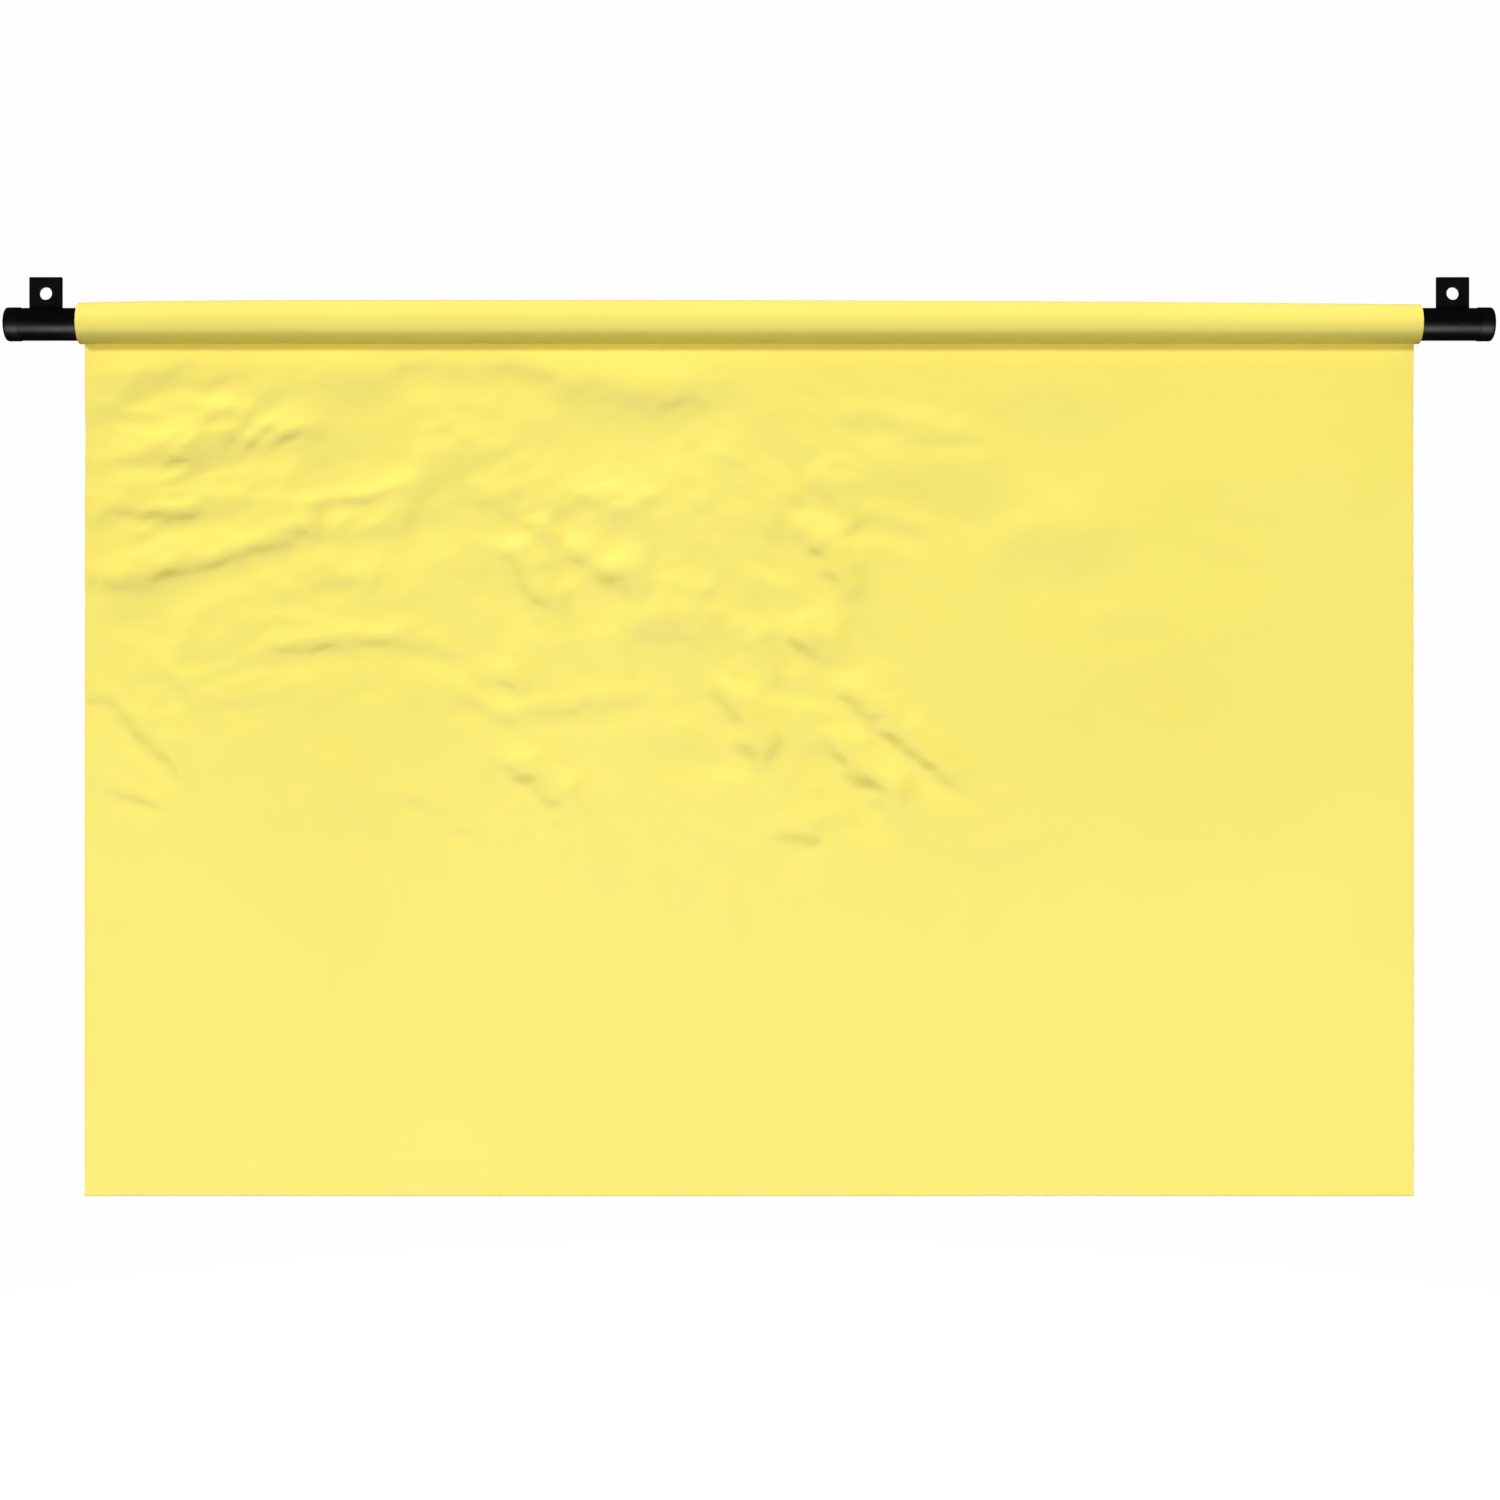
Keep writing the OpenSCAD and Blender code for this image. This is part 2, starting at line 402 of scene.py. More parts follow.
def end_cap_profile():
    """A push-on cap's skirt and domed end, from its lip round to the axis and back along the bore."""
    corner_x, corner_r = cap_high[0] - CAP_CORNER, cap_r - CAP_CORNER
    arc = [math.radians(a) for a in range(0, 91, 10)]
    curve = [(corner_x + CAP_CORNER * math.sin(a), corner_r + CAP_CORNER * math.cos(a)) for a in arc]
    return [(cap_low[0], cap_r), *curve, (cap_high[0], 0), (end_high[0], 0), (end_high[0], end_r),
            (cap_low[0], end_r)]


centre_tube = turned("centre_pole", sleeve(-centre_end, centre_end, centre_r, bore_r), 1, ZINC)
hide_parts("centre_tube")
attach(centre_tube, "pole")
plug_bore_r = end_bore_r - PLUG_BORE_STEP
plug_profile = [(plug_low[0], plug_r), (end_low[0], plug_r), (end_low[0], end_bore_r),
                (plug_high[0], end_bore_r), (plug_high[0], plug_bore_r), (plug_low[0], plug_bore_r)]
bush_bore_r = end_r + RUNNING_GAP
bush_profile = [(bush_low[0], bore_r), (centre_end, bore_r), (centre_end, centre_r),
                (bush_high[0], centre_r), (bush_high[0], bush_bore_r), (bush_low[0], bush_bore_r)]
for word, side in SIDES.items():
    body = f"{word}_end"
    tube = turned(f"{word}_sliding_tube", sleeve(end_low[0], end_high[0], end_r, end_bore_r), side, POWDER)
    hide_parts(f"{word}_end_tube")
    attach(tube, body)
    plug = turned(f"{word}_glide", plug_profile, side, NYLON)
    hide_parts(f"{word}_glide_plug")
    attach(plug, body)
    cap = turned(f"{word}_cap", end_cap_profile(), side, CAP, CAP_EASE)
    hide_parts(f"{word}_end_cap")
    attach(cap, body)
    bush = turned(f"{word}_bush", bush_profile, side, NYLON)
    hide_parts(f"{word}_mouth_bush")
    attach(bush, "pole")
    rivets = frame["nodes"][f"{word}_bush_rivets"]
    rivets.data.materials.clear()
    rivets.data.materials.append(ZINC)
print("turned pieces:", 1 + 4 * len(SIDES))

# %% [markdown]
# ## Hanging lugs
# A lug is a square of plate with a hole, sheared and then deburred, so its edges are crisp but not sharp.
# The face is laid out as a ring of quads from the hole to the square, which keeps the hole truly round, and
# a small bevel breaks the edges. Its foot goes a little into the tube, where the weld hides it.

# %% Cut the lug plates
HOLE_SIDES = 64
FOOT_SINK = 0.1 * MM
EDGE_BREAK, EDGE_STEPS, EDGE_ANGLE = 0.5 * MM, 3, 50
lug_half = (lug_high[0] - lug_low[0]) / 2
weld_z = pole_z + math.sqrt(end_r ** 2 - lug_high[1] ** 2)     # where the plate's faces meet the tube


def lug_plate(word, side):
    """Makes a square plate with a round hole, as a ring of quads with broken edges."""
    foot = weld_z - FOOT_SINK
    shape = bmesh.new()
    loops = []
    for y in (lug_low[1], lug_high[1]):
        inner, outer = [], []
        for k in range(HOLE_SIDES):
            a = 2 * math.pi * k / HOLE_SIDES
            c, s = math.cos(a), math.sin(a)
            reach = lug_half / max(abs(c), abs(s))
            inner.append(shape.verts.new((side * (hole_x + hole_r * c), y, hole_z + hole_r * s)))
            z = max(foot, hole_z + reach * s)
            outer.append(shape.verts.new((side * (hole_x + reach * c), y, z)))
        loops.append((inner, outer))
    (in_a, out_a), (in_b, out_b) = loops
    for k in range(HOLE_SIDES):
        n = (k + 1) % HOLE_SIDES
        shape.faces.new((in_a[k], in_a[n], out_a[n], out_a[k]))
        shape.faces.new((in_b[k], out_b[k], out_b[n], in_b[n]))
        shape.faces.new((out_a[k], out_a[n], out_b[n], out_b[k]))
        shape.faces.new((in_a[k], in_b[k], in_b[n], in_a[n]))
    bmesh.ops.recalc_face_normals(shape, faces=shape.faces)
    mesh = bpy.data.meshes.new(f"{word}_plate")
    shape.to_mesh(mesh)
    shape.free()
    plate = new_piece(f"{word}_plate", mesh, POWDER)
    bevel = plate.modifiers.new("broken edges", "BEVEL")
    bevel.width, bevel.segments = EDGE_BREAK, EDGE_STEPS
    bevel.limit_method = "ANGLE"
    bevel.angle_limit = math.radians(EDGE_ANGLE)
    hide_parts(f"{word}_lug")
    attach(plate, f"{word}_end")


for word, side in SIDES.items():
    lug_plate(word, side)
print("lug plates:", len(SIDES))

# %% [markdown]
# ## Weld beads
# A weld is a row of small overlapping puddles. Geometry Nodes suits it: a line becomes evenly spaced
# points, each point gets one flattened puddle with a little random size, and the result is one plain mesh
# for each lug.

# %% Geometry Nodes helpers
GROWN_SHARP = 60


def new_tree(name, inputs):
    """A geometry tree with named inputs. inputs maps a name to its socket type and default value."""
    tree = bpy.data.node_groups.new(name, "GeometryNodeTree")
    tree.interface.new_socket("Geometry", in_out="INPUT", socket_type="NodeSocketGeometry")
    for label, (kind, value) in inputs.items():
        socket = tree.interface.new_socket(label, in_out="INPUT", socket_type=kind)
        if value is not None:
            socket.default_value = value
    tree.interface.new_socket("Geometry", in_out="OUTPUT", socket_type="NodeSocketGeometry")
    return tree, tree.nodes.new("NodeGroupInput"), tree.nodes.new("NodeGroupOutput")


def grown(name, guide, tree, values, material):
    """Runs a tree on a guide mesh and returns the result as a plain mesh object."""
    seedling = bpy.data.objects.new(f"{name}_guide", guide)
    bpy.context.collection.objects.link(seedling)
    modifier = seedling.modifiers.new("grow", "NODES")
    modifier.node_group = tree
    for item in tree.interface.items_tree:
        if item.in_out == "INPUT" and item.name in values:
            modifier[item.identifier] = values[item.name]
    evaluated = seedling.evaluated_get(bpy.context.evaluated_depsgraph_get())
    mesh = bpy.data.meshes.new_from_object(evaluated)
    bpy.data.objects.remove(seedling)
    mesh.materials.clear()
    mesh.name = name
    return new_piece(name, mesh, material, sharp=GROWN_SHARP)


print("grown pieces are sharp from", GROWN_SHARP, "degrees")

# %% The weld tree
PUDDLE_LENGTH = 0.62            # of its width
PUDDLE_SIZES = (0.9, 1.08)


def weld_tree():
    """Line to puddles: resample, instance a flattened ball, vary its size, realize."""
    tree, given, result = new_tree("weld bead", {
        "Pitch": ("NodeSocketFloat", 2.2 * MM), "Radius": ("NodeSocketFloat", 3 * MM),
        "Seed": ("NodeSocketInt", 7), "Finish": ("NodeSocketMaterial", None)})
    nodes, links = tree.nodes, tree.links
    line = nodes.new("GeometryNodeMeshToCurve")
    points = nodes.new("GeometryNodeResampleCurve")
    points.mode = "LENGTH"
    ball = nodes.new("GeometryNodeMeshUVSphere")
    ball.inputs["Segments"].default_value = 16
    ball.inputs["Rings"].default_value = 10
    flat = nodes.new("ShaderNodeCombineXYZ")
    flat.inputs["X"].default_value = PUDDLE_LENGTH
    flat.inputs["Y"].default_value = 1.0
    flat.inputs["Z"].default_value = 1.0
    vary = nodes.new("FunctionNodeRandomValue")
    vary.data_type = "FLOAT"
    vary.inputs[2].default_value, vary.inputs[3].default_value = PUDDLE_SIZES
    scale = nodes.new("ShaderNodeVectorMath")
    scale.operation = "SCALE"
    place = nodes.new("GeometryNodeInstanceOnPoints")
    real = nodes.new("GeometryNodeRealizeInstances")
    paint = nodes.new("GeometryNodeSetMaterial")
    links.new(given.outputs["Geometry"], line.inputs["Mesh"])
    links.new(line.outputs["Curve"], points.inputs["Curve"])
    links.new(given.outputs["Pitch"], points.inputs["Length"])
    links.new(points.outputs["Curve"], place.inputs["Points"])
    links.new(given.outputs["Radius"], ball.inputs["Radius"])
    links.new(ball.outputs["Mesh"], place.inputs["Instance"])
    links.new(given.outputs["Seed"], vary.inputs["Seed"])
    links.new(flat.outputs["Vector"], scale.inputs["Vector"])
    links.new(vary.outputs[1], scale.inputs["Scale"])
    links.new(scale.outputs["Vector"], place.inputs["Scale"])
    links.new(place.outputs["Instances"], real.inputs["Geometry"])
    links.new(real.outputs["Geometry"], paint.inputs["Geometry"])
    links.new(given.outputs["Finish"], paint.inputs["Material"])
    links.new(paint.outputs["Geometry"], result.inputs["Geometry"])
    return tree


WELD_TREE = weld_tree()
print("weld tree:", len(WELD_TREE.nodes), "nodes")

# %% Lay the beads
BEAD_R = 2.9 * MM
BEAD_END = 2.0 * MM
for word, side in SIDES.items():
    ends = [side * (hole_x + s * (lug_half - BEAD_END)) for s in (-1, 1)]
    corners = [(x, y, weld_z) for y in (lug_low[1], lug_high[1]) for x in ends]
    guide = bpy.data.meshes.new(f"{word}_weld_guide")
    guide.from_pydata(corners, [(0, 1), (2, 3)], [])
    bead = grown(f"{word}_weld_bead", guide, WELD_TREE, {"Radius": BEAD_R, "Finish": POWDER}, POWDER)
    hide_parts(f"{word}_lug_weld")
    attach(bead, f"{word}_end")
    print(bead.name, len(bead.data.polygons), "faces")

# %% [markdown]
# ## How the sheet creases
# Vinyl that has been folded in its box keeps soft creases. Each one is a shallow step: a narrow band of
# cloth that leans away from the light, with the cloth on both sides leaning back. So a crease is a short
# stroke on the flat sheet with a width and a lean. Its height at a distance s from the stroke's line is
# lean * s * exp(-s^2 / 2w^2), which is steepest in the middle and dies out. The strokes are listed one by
# one: long sweeping ones at the upper left, small slanting ones in the middle, and hardly any at the right
# and the bottom. Strokes alone look drawn, so seeded noise bends them and lays an uneven crumple under
# them.
# A cloth simulation would drape the sheet afresh and lose these old folds, which is why none is used.

# %% The creases
# Each stroke: (across, drop) of its start and end in mm from the sheet's left edge and below the pole axis,
# how far its middle bows upwards, its half width, and its lean (slope at the middle of the band).
LONG_SWELL = ((-300, 48), (760, 44), 0, 34, 0.16)
SWEEPS_AT_UPPER_LEFT = [
    ((-30, 140), (150, 50), 8, 24, 0.55),
    ((110, 185), (300, 150), 4, 22, 0.50),
    ((270, 170), (430, 90), 0, 40, 0.36),
    ((190, 110), (380, 60), 0, 34, 0.22),
    ((250, 212), (400, 182), 4, 13, 0.28),
    ((-20, 272), (120, 262), 3, 12, 0.46),
    ((90, 266), (215, 230), -5, 13, 0.50),
    ((-10, 300), (90, 296), 0, 9, 0.26),
    ((-30, 350), (240, 318), -8, 17, 0.62),
    ((30, 385), (130, 372), -4, 24, 0.50),
    ((190, 322), (400, 276), 8, 15, 0.55),
    ((370, 276), (500, 262), 4, 20, 0.42),
    ((440, 220), (560, 215), 0, 34, 0.22),
]
SOFT_DENTS_AT_LEFT = [
    ((310, 388), (410, 366), 4, 12, 0.20),
    ((220, 462), (450, 434), 6, 15, 0.42),
    ((440, 436), (520, 462), 4, 12, 0.26),
    ((-20, 478), (130, 628), 12, 14, 0.50),
    ((95, 460), (150, 545), 6, 13, 0.24),
    ((-10, 520), (55, 508), 0, 10, 0.20),
    ((140, 530), (225, 514), 0, 10, 0.20),
    ((0, 626), (110, 668), -4, 10, 0.42),
    ((-15, 828), (80, 824), 0, 9, 0.38),
    ((280, 585), (400, 715), 8, 16, 0.16),
    ((420, 640), (545, 706), 6, 13, 0.26),
]
DIMPLES_IN_THE_MIDDLE = [
    ((560, 50), (660, 66), 0, 20, 0.30),
    ((640, 76), (880, 92), -16, 30, 0.42),
    ((590, 120), (820, 158), -6, 22, 0.18),
    ((520, 242), (600, 262), 2, 14, 0.34),
    ((590, 262), (650, 300), 0, 12, 0.32),
    ((665, 232), (765, 290), 4, 18, 0.44),
    ((655, 310), (755, 380), 4, 24, 0.42),
    ((560, 305), (640, 410), 4, 20, 0.50),
    ((760, 420), (860, 440), 0, 30, 0.24),
    ((560, 470), (605, 508), 0, 12, 0.32),
    ((500, 515), (625, 572), 6, 9, 0.30),
    ((600, 538), (775, 516), 0, 9, 0.30),
    ((570, 600), (670, 672), 4, 15, 0.42),
    ((630, 650), (690, 770), 4, 18, 0.26),
    ((780, 575), (900, 590), 0, 14, 0.18),
    ((860, 480), (920, 600), -4, 18, 0.50),
    ((895, 425), (935, 485), 0, 13, 0.40),
    ((970, 272), (1045, 375), 4, 17, 0.56),
    ((995, 200), (1050, 268), 2, 13, 0.44),
    ((1050, 276), (1170, 300), 16, 11, 0.36),
    ((960, 438), (1060, 446), 0, 18, 0.32),
    ((935, 484), (1000, 508), 0, 12, 0.36),
    ((1040, 500), (1200, 632), -6, 14, 0.60),
    ((1015, 570), (1115, 685), 6, 18, 0.56),
    ((945, 698), (1015, 712), 0, 12, 0.36),
    ((850, 775), (890, 850), 0, 13, 0.26),
]
FAINT_AT_RIGHT = [
    ((1040, 120), (1230, 158), -6, 16, 0.26),
    ((1080, 205), (1290, 240), 4, 40, 0.20),
    ((1240, 110), (1420, 130), 0, 50, 0.10),
    ((1250, 310), (1400, 325), 8, 44, 0.20),
    ((1400, 392), (1470, 424), 0, 12, 0.16),
    ((1200, 722), (1310, 732), 0, 12, 0.20),
    ((1165, 775), (1215, 845), 0, 14, 0.16),
    ((1515, 595), (1610, 665), 4, 16, 0.14),
    ((1465, 735), (1560, 835), 4, 20, 0.16),
]
# Two groups were tuned as a whole, in passes: what each pass does to the half widths and to the leans.
SWEEP_PASSES = ((1, 0.75), (1.15, 1), (1.05, 0.8), (1, 1.25))
DIMPLE_PASSES = ((1, 1.25), (1.3, 0.85), (1.08, 0.8), (1, 1.25))


def tuned(strokes, passes):
    """The strokes after all passes, each of which ends on whole mm and on hundredths of lean."""
    for wider, steeper in passes:
        strokes = [(start, end, bow, round(width * wider), round(lean * steeper, 2))
                   for start, end, bow, width, lean in strokes]
    return strokes


CREASES = [LONG_SWELL] + tuned(SWEEPS_AT_UPPER_LEFT, SWEEP_PASSES) + SOFT_DENTS_AT_LEFT
CREASES += tuned(DIMPLES_IN_THE_MIDDLE, DIMPLE_PASSES) + FAINT_AT_RIGHT
print("strokes:", len(CREASES))

# %% One stroke and one patch of noise
FADE_IN, FADE_OUT = (-0.22, 0.25), (0.75, 1.22)     # where along its length a stroke comes and goes
THIN_ENDS, SWELL = 0.55, 0.45                       # its width at the ends, and what the middle adds


def smooth(low, high, value):
    """0 below low, 1 above high, and an even S between them."""
    t = np.clip((value - low) / (high - low), 0, 1)
    return t * t * (3 - 2 * t)


def crease_height(across, drop, stroke):
    """Height of one crease, in mm, at points given in mm."""
    (a0, d0), (a1, d1), bow, width, lean = stroke
    length = math.hypot(a1 - a0, d1 - d0)
    along = ((across - a0) * (a1 - a0) + (drop - d0) * (d1 - d0)) / length ** 2
    off = (-(drop - d0) * (a1 - a0) + (across - a0) * (d1 - d0)) / length
    off = off - bow * 4 * along * (1 - along)
    fade = smooth(*FADE_IN, along) * (1 - smooth(*FADE_OUT, along))
    thin = width * (THIN_ENDS + SWELL * fade)
    return lean * fade * off * np.exp(-(off / thin) ** 2 / 2)


def rough(across, drop, span, seed):
    """Smooth random heights between about -1 and 1. span is the size of a bump in mm, (across, down)."""
    places = zip(across.ravel(), drop.ravel())
    flat = [noise.noise(Vector((a / span[0], d / span[1], seed))) for a, d in places]
    return np.array(flat).reshape(across.shape)


print("a stroke fades in over", FADE_IN, "and out over", FADE_OUT, "of its length")

# %% An uneven crumple
MEAN_ROUGH = 0.2            # about how far rough() is from 0, taken off so that the crumple lies level
CALM_LEAST, CALM_MORE = 0.4, 0.6
CALM_SPAN = (170, 110)
# Each row: size in mm, span in mm and seed. The bends push the wrinkles out of line.
BENDS = ((40, (150, 130), 2.3), (30, (120, 90), 6.1))
WRINKLES = ((24, (130, 64), 5.7), (11, (62, 32), 9.1), (3, (34, 18), 1.8))
# Where the crumple is: centre and reach in mm, across and down.
UPPER_LEFT, MIDDLE = ((260, 200), (430, 230)), ((880, 430), (360, 290))
RISE, FALL = 0.3, -0.6      # slope of the wrinkles in the two places
EVERYWHERE, MORE_IN_MIDDLE = 0.06, 0.4


def crumple(across, drop, rise, seed):
    """Wrinkles at three sizes, in mm, with sharp backs that wander. rise tilts them up to the right."""
    tilted = drop + rise * across
    bend, sag = (size * rough(across, drop, span, seed + own) for size, span, own in BENDS)
    uneven = smooth(-0.2, 0.25, rough(across, tilted, CALM_SPAN, seed + 4.4))
    total = 0
    for (size, span, own), (aside, down) in zip(WRINKLES, ((bend, sag), (-sag, bend), (sag, -bend))):
        ridges = np.abs(rough(across + aside, tilted + down, span, seed + own))
        total = total + size * (MEAN_ROUGH - ridges)
    return (CALM_LEAST + CALM_MORE * uneven) * total


def patch(across, drop, centre, reach):
    """1 at its centre, fading to nothing some reach away from it."""
    return np.exp(-((across - centre[0]) / reach[0]) ** 2 - ((drop - centre[1]) / reach[1]) ** 2)


def restless(across, drop):
    """The crumple: strong and rising to the right at the upper left, weaker and falling in the middle."""
    upper_left, middle = patch(across, drop, *UPPER_LEFT), patch(across, drop, *MIDDLE)
    rising, falling = crumple(across, drop, RISE, 0.0), crumple(across, drop, FALL, 20.0)
    return upper_left * rising + (EVERYWHERE + MORE_IN_MIDDLE * middle) * falling


sample = restless(*np.array(UPPER_LEFT[0], float).reshape(2, 1))[0]
print(f"crumple at the upper left: {sample:.2f} mm")

# %% How the whole sheet lies
# Layers of noise, each with its size in mm, span in mm and seed: the sheet's long gentle waves, and how
# far the strokes stray sideways and up or down.
WAVES = ((2.4, (380, 170), 3.7),)
STRAY_ACROSS = ((16, (90, 60), 7.2), (9, (30, 20), 3.1))
STRAY_DOWN = ((12, (80, 60), 8.6), (8, (26, 18), 4.9))
TUCK = 2.5                  # mm that the sheet tucks back just below the seam
TUCK_IN, TUCK_OUT = (30, 110), (100, 700)       # mm of drop over which it does so and comes forward again
DEEPEST = 11.0              # mm that a valley reaches back at most
SEAM_HOLDS = 22             # mm below the axis down to which the seam holds the sheet flat
VALLEYS_FREE, CRESTS_FREE = 50, 120             # mm of drop from which valleys and crests are whole
EDGE_REACH = 70             # mm over which the hems stiffen the sheet
EDGE_LEFT, EDGE_GAIN = 0.35, 0.65               # what is left of a crease at the edge, and what it gains


def layered(start, across, drop, layers):
    """A value with some layers of noise added."""
    for size, span, seed in layers:
        start = start + size * rough(across, drop, span, seed)
    return start


def sheet_height(across, drop):
    """How far the sheet stands forward of its flat plane, in metres, for arrays of places in mm."""
    total = layered(0, across, drop, WAVES) + restless(across, drop)
    astray = layered(across, across, drop, STRAY_ACROSS)
    adrift = layered(drop, across, drop, STRAY_DOWN)
    for stroke in CREASES:
        total = total + crease_height(astray, adrift, stroke)
    tuck = TUCK * smooth(*TUCK_IN, drop) * (1 - smooth(*TUCK_OUT, drop))
    edge = np.minimum(across, width_mm - across)
    stiff = EDGE_LEFT + EDGE_GAIN * smooth(0, EDGE_REACH, edge)
    crests, valleys = smooth(SEAM_HOLDS, CRESTS_FREE, drop), smooth(SEAM_HOLDS, VALLEYS_FREE, drop)
    total = total * stiff * np.where(total > 0, crests, valleys) - tuck
    valley = DEEPEST * (np.exp(np.minimum(total, 0) / DEEPEST) - 1)
    return np.where(total > 0, total, valley) * MM


middle = sheet_height(np.array([width_mm / 2]), np.array([drop_mm / 2]))[0]
print(f"the middle of the sheet stands {middle / MM:.2f} mm forward")

# %% [markdown]
# ## The curtain sheet
# The curtain is one strip of vinyl: it comes up behind the pole, folds forward under it, goes round the
# front and over the top, and ends as a flap welded to its own back. Pocket and panel are two bodies in the
# frame, but the strip is built here as one mesh, so pocket and panel are one piece of cloth. The pocket is
# a little too roomy for the pole, most of all left of the middle, so its top stands proud there.

# %% Lay out the strip across the pole
THICKNESS = 0.8 * MM
POCKET_R = centre_r + 0.9 * MM
SEAM_DROP = 21 * MM
LAYER = 0.9 * MM
FOLD_R = 0.85 * MM
flap_drop = pole_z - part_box("pocket_flap")[0][2]
FINE, COARSE = 6.5, 20.0                # mm between points where the sheet is creased and where it is calm
FINE_DROP, FINE_ACROSS = 730, 1240      # mm down and across to which it is creased
SEAM_STEP, FLAP_STEP = 2, 9             # mm between rows at the seam and down the flap
SEAM_ZONE, FLAP_ZONE = 40, 42           # mm below the axis to which the rows at the seam go
ROUND_STEP = 10                         # degrees between rows round the pole


def spaced(start, stop, step):
    """Evenly spaced values from start to just before stop."""
    count = max(1, round(abs(stop - start) / step))
    return [start + (stop - start) * k / count for k in range(count)]


def strip_rows():
    """Rows of the strip from its bottom edge to the flap's end: (y, z from the axis, turn or None), mm."""
    bottom = -sheet_drop / MM + FOLD_R / MM
    rows = [(sheet_y / MM, z, None) for z in spaced(bottom, -FINE_DROP, COARSE)]
    rows += [(sheet_y / MM, z, None) for z in spaced(-FINE_DROP, -SEAM_ZONE, FINE)]
    rows += [(sheet_y / MM, z, None) for z in spaced(-SEAM_ZONE, -SEAM_DROP / MM - SEAM_STEP, SEAM_STEP)]
    radius, seam = POCKET_R / MM, Vector((sheet_y / MM, -SEAM_DROP / MM))
    away = math.acos(radius / seam.length)
    leave = math.atan2(seam.y, seam.x) - away
    touch = Vector((radius * math.cos(leave), radius * math.sin(leave)))
    corner = (seam + Vector((0, -SEAM_STEP)), seam, seam + (touch - seam).normalized() * SEAM_STEP)
    for t in (0, 0.25, 0.5, 0.75, 1):
        p = corner[0] * (1 - t) ** 2 + corner[1] * 2 * t * (1 - t) + corner[2] * t * t
        rows.append((p.x, p.y, None))
    rows += [(*corner[2].lerp(touch, t), None) for t in (0.25, 0.5, 0.75)]
    for a in spaced(leave, -2 * math.pi, math.radians(ROUND_STEP)):
        rows.append((radius * math.cos(a), radius * math.sin(a), a))
    back = sheet_y / MM + LAYER / MM
    rows += [(radius + (back - radius) * t, seam.y * t, None) for t in (0, 0.25, 0.5, 0.75)]
    rows += [(back, z, None) for z in spaced(seam.y, -FLAP_ZONE, SEAM_STEP)]
    rows += [(back, z, None) for z in spaced(-FLAP_ZONE, -flap_drop / MM, FLAP_STEP)]
    rows.append((back, -flap_drop / MM, None))
    return rows


def pocket_slack(x):
    """How far the top of the pocket stands off the pole, in metres, at x metres along it."""
    peak, top = -0.34, 6.4 * MM
    left_reach, right_reach = 0.66, 1.28
    left_power, right_power = 4.0, 2.2
    reach = np.where(x > peak, (x - peak) / right_reach, (peak - x) / left_reach)
    power = np.where(x > peak, right_power, left_power)
    return top * (1 - reach ** power)


rows = strip_rows()
print("rows in the strip:", len(rows))

# %% Build the curtain mesh
SLACK_FADE = 1.4        # how fast the slack dies out from the top of the pole to its sides
IN_PLANE = 0.01         # mm
across = np.array(spaced(0, FINE_ACROSS, FINE) + spaced(FINE_ACROSS, width_mm, COARSE) + [width_mm])
x_along = across * MM - half_width
grid = np.zeros((len(rows), len(across), 3))
for i, (y, z, turn) in enumerate(rows):
    grid[i, :, 0] = x_along
    grid[i, :, 1] = y * MM
    grid[i, :, 2] = pole_z + z * MM
    if turn is not None:
        lift = pocket_slack(x_along) * max(0.0, math.sin(turn)) ** SLACK_FADE
        grid[i, :, 1] += lift * math.cos(turn)
        grid[i, :, 2] += lift * math.sin(turn)
    elif z < -SEAM_DROP / MM and (y < sheet_y / MM + IN_PLANE or y > (sheet_y + LAYER / 2) / MM):
        # The panel and the flap behind it take up the same creases.
        grid[i, :, 1] -= sheet_height(across, np.full_like(across, -z))


def grid_mesh(name, points):
    """A quad mesh over a rows x columns array of points, with UVs in metres along the cloth."""
    r, c = points.shape[:2]
    index = np.arange(r * c).reshape(r, c)
    quads = np.stack([index[:-1, :-1], index[:-1, 1:], index[1:, 1:], index[1:, :-1]], -1).reshape(-1, 4)
    mesh = bpy.data.meshes.new(name)
    mesh.from_pydata(points.reshape(-1, 3).tolist(), [], quads.tolist())
    along = np.concatenate([[0], np.cumsum(np.linalg.norm(np.diff(points[:, 0], axis=0), axis=1))])
    uv = np.stack(np.broadcast_arrays(points[:, :, 0], along[:, None]), -1).reshape(-1, 2)
    layer = mesh.uv_layers.new(name="cloth")
    corners = np.array([loop.vertex_index for loop in mesh.loops])
    layer.data.foreach_set("uv", uv[corners].astype(np.float32).ravel())
    return mesh, float(along[-1])


sheet_mesh, sheet_length = grid_mesh("curtain", grid)
layer = bpy.data.objects.new("curtain_layer", sheet_mesh)
bpy.context.collection.objects.link(layer)
solid = layer.modifiers.new("vinyl thickness", "SOLIDIFY")
solid.thickness = THICKNESS
solid.offset = 0
solid.use_even_offset = True
thick = bpy.data.meshes.new_from_object(layer.evaluated_get(bpy.context.evaluated_depsgraph_get()))
bpy.data.objects.remove(layer)
curtain = new_piece("curtain", thick, VINYL, sharp=GROWN_SHARP)
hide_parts("pole_pocket", "curtain_panel", "pocket_flap")
print(f"curtain: {len(thick.polygons)} faces, {sheet_length:.3f} m of cloth from edge to edge")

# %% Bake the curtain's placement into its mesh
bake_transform(curtain)

# %% [markdown]
# ## Hems
# The edges are folded to the back and welded flat. Each hem is a strip that follows the creased sheet, with
# a round fold that wraps the sheet's edge, so the curtain shows a soft rim in front and a clean strip
# behind.

